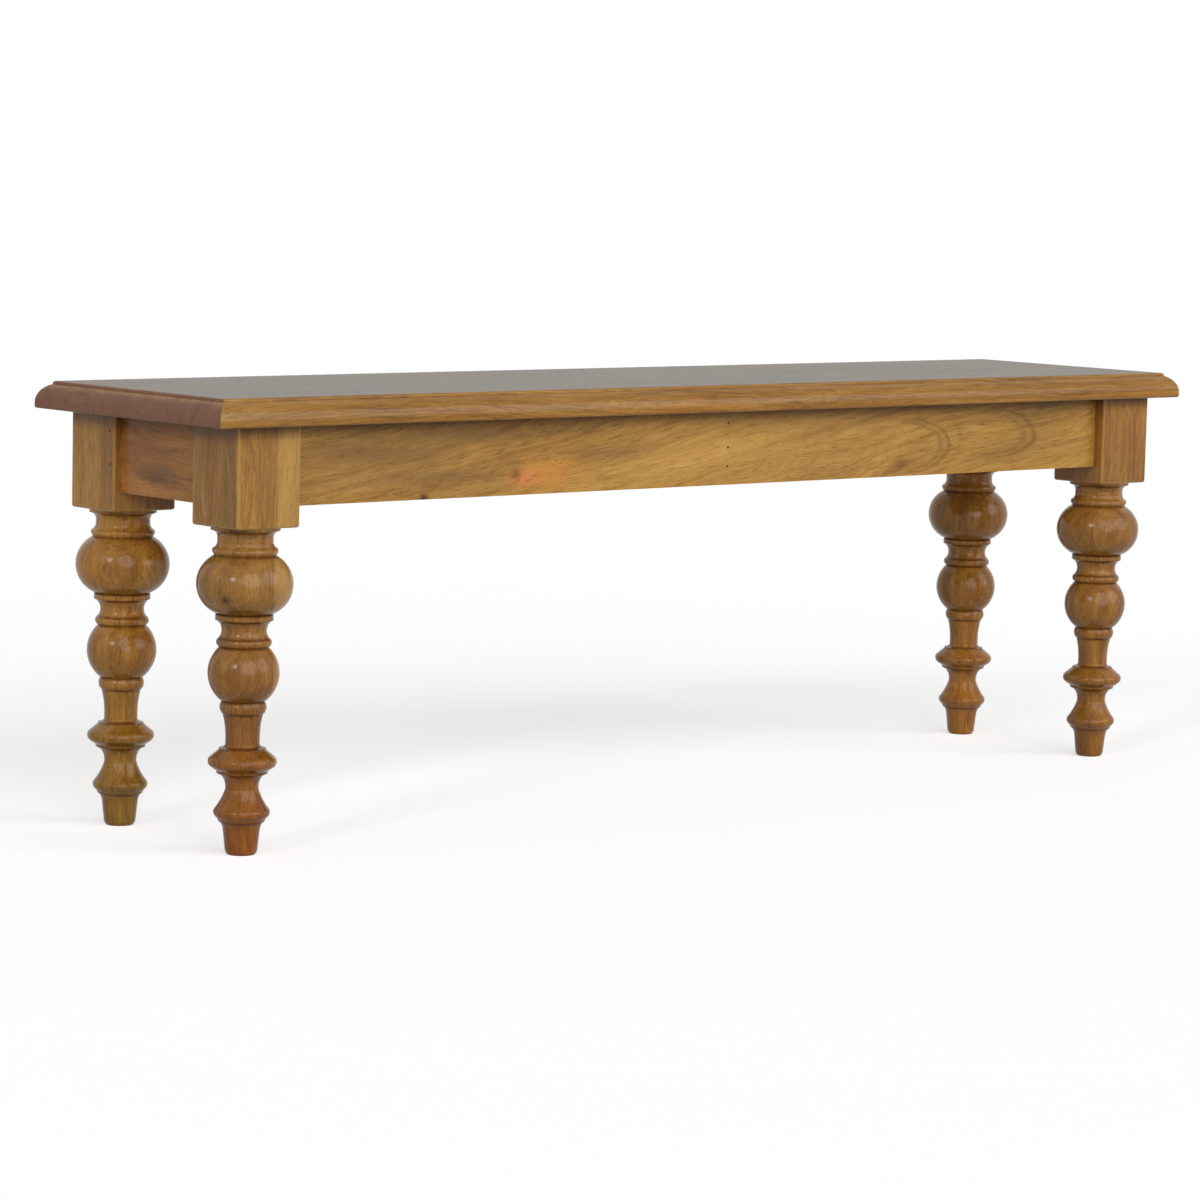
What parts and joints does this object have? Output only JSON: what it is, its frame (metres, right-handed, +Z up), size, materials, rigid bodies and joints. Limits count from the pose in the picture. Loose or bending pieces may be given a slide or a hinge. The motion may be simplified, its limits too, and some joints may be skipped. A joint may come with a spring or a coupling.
{
  "type": "dining bench",
  "caption": "Wooden dining bench: moulded plank seat on a pinned apron frame and turned legs with square top blocks.",
  "frame": {"origin": "on the floor, under the middle of the seat", "axes": "+X along the bench, +Y from the long side that the picture shows towards the far long side, +Z up"},
  "size_m": [1.375, 0.32, 0.452],
  "materials": {
    "seat_wood": "satin lacquer",
    "leg_wood": "satin lacquer",
    "apron_wood": "satin lacquer",
    "inner_wood": "sawn",
    "pin_steel": "dulled",
    "screw_steel": "plated"
  },
  "bodies": {
    "root": {"seat_board_front": "seat_wood", "seat_board_middle": "seat_wood", "seat_board_back": "seat_wood", "leg_front_left": "leg_wood", "leg_front_right": "leg_wood", "leg_back_left": "leg_wood", "leg_back_right": "leg_wood", "apron_front": "apron_wood", "apron_back": "apron_wood", "apron_left": "apron_wood", "apron_right": "apron_wood", "cross_rail": "inner_wood", "seat_cleat_front_left": "inner_wood", "seat_cleat_front_right": "inner_wood", "seat_cleat_back_left": "inner_wood", "seat_cleat_back_right": "inner_wood", "seat_cleat_left": "inner_wood", "seat_cleat_right": "inner_wood", "tenon_pins": "pin_steel", "rail_nails": "pin_steel", "seat_screws": "screw_steel", "cleat_screws": "screw_steel"}
  },
  "joints": []
}
